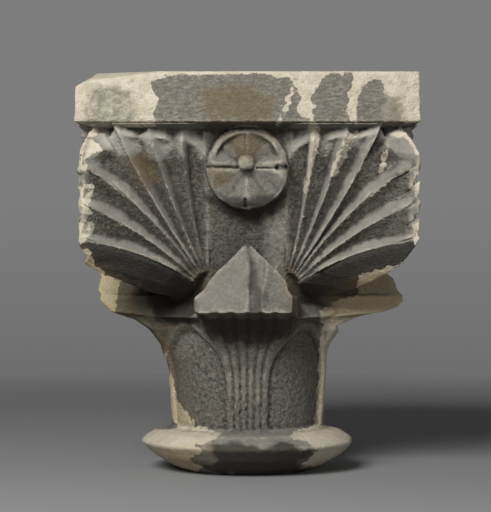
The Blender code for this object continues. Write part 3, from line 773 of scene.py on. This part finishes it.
def linear(hex_colour):
    """An sRGB hex colour as linear red, green, blue and alpha."""
    parts = [int(hex_colour[i : i + 2], 16) / 255 for i in (0, 2, 4)]
    return (*[p / 12.92 if p <= 0.04045 else ((p + 0.055) / 1.055) ** 2.4 for p in parts], 1)


where = add(tree, "ShaderNodeTexCoord", out="Object")
height = add(tree, "ShaderNodeSeparateXYZ", where, out="Z")
level = add(tree, "ShaderNodeVectorMath", where, (0.35, 0.35, 1.0), operation="MULTIPLY")
streaks = add(tree, "ShaderNodeTexNoise", level, 1000 / 2.2, 5.0)
pock = add(tree, "ShaderNodeTexVoronoi", where, 1000 / 3.0)

# Patterns in the stone: the width of a lump in millimetres, and the detail in it.
GRAINS = {
    "grit": (1.1, 2.0),
    "fine": (2.2, 3.0),
    "lichen": (6, 8.0),
    "rubbing": (9, 4.0),
    "bedding": (12, 6.0),
    "patches": (16, 5.0),
}
grain = {}
for name, (size_mm, detail) in GRAINS.items():
    grain[name] = add(tree, "ShaderNodeTexNoise", where, 1000 / size_mm, detail)
kept = {}
for name in ("bare", "ochre", "grey_and_painted_light", "polish_and_light", "soot_and_shade", "hollow", "recess"):
    kept[name] = add(tree, "ShaderNodeAttribute", attribute_name=name, out="Fac")


def ragged(field, size_mm, height_mm, sharp_mm):
    """A painted field cut off along a torn edge: noise shifts the edge by up to a height."""
    noise = add(tree, "ShaderNodeTexNoise", where, 1000 / size_mm, 6.0)
    noise = add(tree, "ShaderNodeMath", noise, 0.5, operation="SUBTRACT")
    torn = product(tree, noise, 2 * height_mm)
    torn = add(tree, "ShaderNodeMath", field, torn, operation="ADD")
    return add(tree, "ShaderNodeMapRange", torn, -sharp_mm, sharp_mm)


# Each mask turns a pattern or a field from low to high into a share from least to most.
MASKS = {
    "dark grain": (grain["fine"], 0.35, 0.65, 0.0, 1.0),
    "worn grain": (grain["fine"], 0.2, 0.8, 0.0, 1.0),
    "patches": (grain["patches"], 0.35, 0.7, 0.0, 0.35),
    "above the slab's foot": (height, 333 * MM, 335 * MM, 0.0, 1.0),
    "below the top bed": (height, 380 * MM, 378 * MM, 0.0, 1.0),
    "dark streaks": (streaks, 0.42, 0.62, 0.0, 0.3),
    "pale streaks": (streaks, 0.5, 0.36, 0.0, 0.2),
    # Painted shade: the small hollows darken as dirt and shade would, the large recesses as shade alone.
    "pits": (kept["hollow"], 0.07, 0.75, 0.0, 0.75),
    "painted recess shade": (kept["recess"], 1.0, 5.0, 0.0, 0.6),
    # Painted highlight and wear: what stands out of the skin.
    "edges": (kept["hollow"], -0.12, -0.6, 0.0, 1.0),
    "rubbing": (grain["rubbing"], 0.4, 0.65, 0.2, 0.7),
    "smooth parts": (kept["polish_and_light"], 0.1, 0.5, 0.15, 1.0),
    "bedding": (grain["bedding"], 0.3, 0.7, 0.0, 1.0),
    "cream grit": (grain["fine"], 0.5, 0.8, 0.0, 0.35),
    "cream pits": (kept["hollow"], 0.04, 0.4, 0.0, 0.6),
    "lichen": (grain["lichen"], 0.36, 0.64, 0.3, 0.85),
    "picked": (kept["polish_and_light"], 0.0, 1.0, 1.2, 0.3),
}
mask = {name: add(tree, "ShaderNodeMapRange", *limits) for name, limits in MASKS.items()}
on_slab = product(tree, mask["above the slab's foot"], mask["below the top bed"])
stain = ragged(kept["ochre"], 14, 10, 6.0)
grey_and_light_edge = ragged(kept["grey_and_painted_light"], 7, 7, 3.0)


def layered(ground, *layers):
    """A ground colour with layers over it, each a share of a hex colour."""
    for share, colour in layers:
        ground = add(tree, "ShaderNodeMix", share, ground, linear(colour), data_type="RGBA")
    return ground


dark = layered(linear("383731"), (mask["dark grain"], "625f54"))
worn = layered(linear("726f66"), (mask["worn grain"], "848178"))
# The dark and the worn crust, mixed by the smooth share, which also carries painted light.
crust = add(tree, "ShaderNodeMix", kept["polish_and_light"], dark, worn, data_type="RGBA")
crust = layered(
    crust,
    (mask["patches"], "5a564d"),
    (product(tree, mask["dark streaks"], on_slab), "4d473c"),
    (product(tree, mask["pale streaks"], on_slab), "a19a86"),
    # Dirt and painted shade in the pits, painted shade in the recesses.
    (mask["pits"], "2b2823"),
    (mask["painted recess shade"], "2b2823"),
    # Rubbed edges, paler by wear and by a painted highlight.
    (product(tree, mask["edges"], mask["rubbing"], mask["smooth parts"]), "a39c8a"),
    # Soot and painted shade: darkens the crust under the slab and the fans and in the painted shadows.
    (product(tree, kept["soot_and_shade"], 0.88), "2a2824"),
    # Pale grey: the grey skin on the slab, and painted light on the lobes' tips.
    (product(tree, grey_and_light_edge, 0.55), "a5a398"),
    (product(tree, stain, 0.62), "5f5036"),
)
cream = layered(
    linear("bbb3a2"),
    (mask["bedding"], "a69d8a"),
    (mask["cream grit"], "8d826a"),
    (product(tree, stain, 0.6), "9c8a62"),
    # Dirt and painted shade in the cream stone's pits.
    (mask["cream pits"], "6b6352"),
    (product(tree, grey_and_light_edge, mask["lichen"]), "6c6a5c"),
)
bared = ragged(kept["bare"], 6, 4.5, 0.5)
colour = add(tree, "ShaderNodeMix", bared, crust, cream, data_type="RGBA")
tree.links.new(colour, shader.inputs["Base Color"])

# The pick's pits, the slab's level drag marks and the grit, as finer relief than the skin's.
relief = add(tree, "ShaderNodeMath", grain["fine"], product(tree, streaks, on_slab), operation="ADD")
relief = add(tree, "ShaderNodeMath", relief, product(tree, pock, 0.35), operation="ADD")
relief = product(tree, relief, mask["picked"])
relief = add(tree, "ShaderNodeMath", relief, product(tree, grain["grit"], 0.5), operation="ADD")
bump = add(tree, "ShaderNodeBump", 0.9, 1.5 * MM, None, relief)
tree.links.new(bump, shader.inputs["Normal"])
stone.data.materials.clear()
stone.data.materials.append(limestone)
stone.data.shade_smooth()

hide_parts("capital")
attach(stone, "root")

# The floor: a sheet of pale seamless paper, matt and even, lit from the left. It fades out
# far behind, into the wall's grey.
bpy.ops.mesh.primitive_circle_add(vertices=96, radius=6, fill_type="TRIFAN")
floor = bpy.context.object
floor.name = "floor"
paper = bpy.data.materials.new("paper")
paper.use_nodes = True
tree = paper.node_tree
sheet = tree.nodes["Principled BSDF"]
sheet.inputs["Base Color"].default_value = linear("848484")
sheet.inputs["Roughness"].default_value = 0.95
where = add(tree, "ShaderNodeTexCoord", out="Object")
away = add(tree, "ShaderNodeVectorMath", where, operation="LENGTH")
tree.links.new(add(tree, "ShaderNodeMapRange", away, 0.8, 1.6, 1.0, 0.0), sheet.inputs["Alpha"])
floor.data.materials.append(paper)

# The studio: a grey wall, a little darker low down, with an even glow from all round, a soft
# box high on the left and a weak low fill on the right.
world = bpy.data.worlds.new("studio")
bpy.context.scene.world = world
world.use_nodes = True
tree = world.node_tree
tree.nodes.clear()
toward = add(tree, "ShaderNodeTexCoord", out="Generated")
rise = add(tree, "ShaderNodeMapRange", add(tree, "ShaderNodeSeparateXYZ", toward, out="Z"), -0.085, 0.03)
wall = add(tree, "ShaderNodeMix", rise, linear("696969"), linear("7d7d7d"), data_type="RGBA")
direct = add(tree, "ShaderNodeLightPath", out="Is Camera Ray")
shown = add(tree, "ShaderNodeBackground", wall)
glow = add(tree, "ShaderNodeBackground", linear("808080"), 0.5)
mixed = add(tree, "ShaderNodeMixShader", direct, glow, shown)
tree.links.new(mixed, tree.nodes.new("ShaderNodeOutputWorld").inputs["Surface"])


def lamp(name, azimuth, elevation, distance, size, power):
    """A square soft box that looks at the capital's middle."""
    light = bpy.data.lights.new(name, "AREA")
    light.energy = power
    light.size = size
    made = bpy.data.objects.new(name, light)
    bpy.context.scene.collection.objects.link(made)
    level = math.cos(math.radians(elevation))
    direction = Vector((
        level * math.sin(math.radians(azimuth)),
        -level * math.cos(math.radians(azimuth)),
        math.sin(math.radians(elevation)),
    ))
    middle = Vector((0, 0, 0.2))
    made.location = middle + direction * distance
    made.rotation_euler = direction.to_track_quat("Z", "Y").to_euler()


lamp("key", -20, 28, 2.2, 0.8, 66)
lamp("fill", 38, 2, 2.6, 1.4, 13.0)

# The camera stands 1.85 m off, level, a little above the middle of the capital.
camera = bpy.data.objects.new("camera", bpy.data.cameras.new("camera"))
bpy.context.scene.collection.objects.link(camera)
camera.location = (0, -1.85, 0.2063)
camera.rotation_euler = (math.pi / 2, 0, 0)
camera.data.lens = 130.1
camera.data.shift_x = -2 / 512
camera.data.shift_y = 6 / 512
bpy.context.scene.camera = camera
bpy.context.scene.view_settings.view_transform = "Standard"
